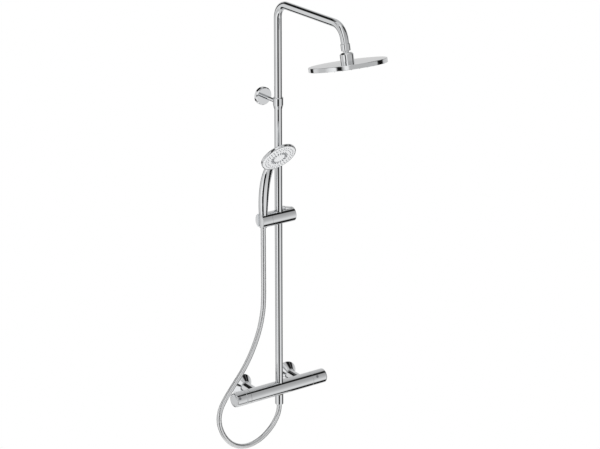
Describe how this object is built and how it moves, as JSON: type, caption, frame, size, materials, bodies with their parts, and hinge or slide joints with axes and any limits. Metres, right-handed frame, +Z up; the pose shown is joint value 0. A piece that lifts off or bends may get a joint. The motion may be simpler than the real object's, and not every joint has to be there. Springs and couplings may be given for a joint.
{
  "type": "rainfall shower column",
  "caption": "Wall-held chrome shower column: bar mixer valve, riser with swivel arm and tilting rain head, sliding cradle with a handset, and a looped hose.",
  "frame": {"origin": "on the finished wall, midway between the two water inlets", "axes": "+Z up along the riser, +Y into the wall, +X to the right as seen from the room"},
  "size_m": [0.3577, 0.5066, 1.2626],
  "materials": {
    "chrome": "polished chrome plate on brass",
    "chrome_plastic": "polished chrome plate on ABS",
    "brass": "machined brass",
    "stainless_steel": "plain stainless steel",
    "rubber": "black EPDM rubber",
    "white_plastic": "moulded acetal",
    "ceramic": "lapped alumina",
    "grey_plastic": "moulded pale grey ABS",
    "silicone": "moulded silicone",
    "button_plastic": "satin chrome plate on ABS",
    "hose": "smooth silver PVC hose"
  },
  "bodies": {
    "fixed_column": {"valve_body": "chrome", "wall_unions": "brass", "inlet_nipples": "brass", "check_valves": "white_plastic", "union_nuts": "brass", "rosettes": "chrome", "sealing_washers": "rubber", "stop_rings": "white_plastic", "flow_cartridge": "white_plastic", "fixed_ceramic_disc": "ceramic", "thermostat_cartridge": "white_plastic", "thermostat_spring": "stainless_steel", "outlet_nipple": "brass", "outlet_insert": "brass", "outlet_nut": "chrome", "riser_tube": "chrome", "grub_screws": "stainless_steel", "swivel_spigot": "brass", "swivel_o_rings": "rubber", "bracket_collar": "chrome", "bracket_stem": "chrome", "bracket_plate": "stainless_steel", "bracket_screws": "stainless_steel", "bracket_flange": "chrome", "hose_loop": "hose"},
    "flow_control": {"moving_ceramic_disc": "ceramic", "flow_spindle": "brass", "flow_handle": "chrome", "flow_handle_cap": "chrome"},
    "eco_stop": {"eco_button": "button_plastic"},
    "temperature_control": {"temperature_spindle": "brass", "temperature_handle": "chrome", "temperature_handle_cap": "chrome"},
    "safety_stop": {"safety_button": "button_plastic"},
    "thermostat": {"thermostat_shuttle": "brass"},
    "arm": {"shower_arm": "chrome", "arm_ferrule": "chrome", "ball_stud": "chrome"},
    "head_pivot": {"ball_seat": "white_plastic"},
    "rain_head": {"cup_nut": "chrome", "head_top_shell": "chrome_plastic", "head_spray_plate": "grey_plastic", "head_nozzle_mat": "silicone"},
    "slider": {"slider_body": "chrome", "slider_end_cap": "chrome_plastic", "slider_bush": "white_plastic", "brake_pad": "white_plastic", "brake_spring": "stainless_steel", "cradle_pivot": "stainless_steel", "hose_drop": "hose"},
    "slider_release": {"slider_button": "chrome_plastic"},
    "cradle": {"handset_cradle": "chrome_plastic", "hose_neck": "hose"},
    "hose_cone": {"hose_cone_nut": "chrome_plastic", "cone_insert": "brass", "hose_tail": "hose"},
    "handset": {"handset_shell": "chrome_plastic", "handset_inlay": "chrome_plastic"},
    "spray_face": {"handset_face": "grey_plastic", "handset_nozzles": "silicone"}
  },
  "joints": [
    {"name": "arm_swivel", "type": "hinge", "parent": "fixed_column", "child": "arm", "pos_m": [0, -0.077, 0.83], "axis": [0, 0, 1], "range_deg": [-45, 45]},
    {"name": "head_tilt", "type": "hinge", "parent": "arm", "child": "head_pivot", "pos_m": [0, -0.38365, 1.01969], "axis": [1, 0, 0], "range_deg": [-12, 12]},
    {"name": "head_roll", "type": "hinge", "parent": "head_pivot", "child": "rain_head", "pos_m": [0, -0.38365, 1.01969], "axis": [0, 0.9703, -0.2419], "range_deg": [-12, 12]},
    {"name": "slider_height", "type": "slide", "parent": "fixed_column", "child": "slider", "axis": [0, 0, 1], "range_m": [-0.15, 0.26], "deforming": ["hose_drop"]},
    {"name": "slider_press", "type": "slide", "parent": "slider", "child": "slider_release", "axis": [0, 0, -1], "range_m": [0, 0.003], "stiffness_N_per_m": 900},
    {"name": "cradle_tilt", "type": "hinge", "parent": "slider", "child": "cradle", "pos_m": [-0.05, -0.077, 0.505], "axis": [1, 0, 0], "range_deg": [-6, 25], "deforming": ["hose_neck"]},
    {"name": "handset_lift", "type": "slide", "parent": "cradle", "child": "hose_cone", "axis": [0, 0, 1], "range_m": [0, 0.045], "deforming": ["hose_tail"]},
    {"name": "handset_turn", "type": "hinge", "parent": "hose_cone", "child": "handset", "pos_m": [-0.05, -0.077, 0.52], "axis": [0, 0, 1], "range_deg": [-60, 20]},
    {"name": "spray_select", "type": "hinge", "parent": "handset", "child": "spray_face", "pos_m": [-0.05, -0.1542, 0.702], "axis": [0, 0.7986, 0.6018], "range_deg": [-40, 40]},
    {"name": "flow_turn", "type": "hinge", "parent": "fixed_column", "child": "flow_control", "pos_m": [-0.128, -0.077, 0], "axis": [1, 0, 0], "range_deg": [-85, 85]},
    {"name": "eco_press", "type": "slide", "parent": "flow_control", "child": "eco_stop", "axis": [0, 0.866, -0.5], "range_m": [0, 0.002], "stiffness_N_per_m": 700},
    {"name": "temperature_turn", "type": "hinge", "parent": "fixed_column", "child": "temperature_control", "pos_m": [0.128, -0.077, 0], "axis": [1, 0, 0], "range_deg": [-150, 60]},
    {"name": "safety_press", "type": "slide", "parent": "temperature_control", "child": "safety_stop", "axis": [0, 0.866, -0.5], "range_m": [0, 0.002], "stiffness_N_per_m": 700},
    {"name": "thermostat_travel", "type": "slide", "parent": "fixed_column", "child": "thermostat", "axis": [1, 0, 0], "range_m": [-0.0026, 0.0011]}
  ],
  "couplings": [
    {"joint": "thermostat_travel", "follows": "temperature_turn", "m_per_rad": 0.00095}
  ]
}
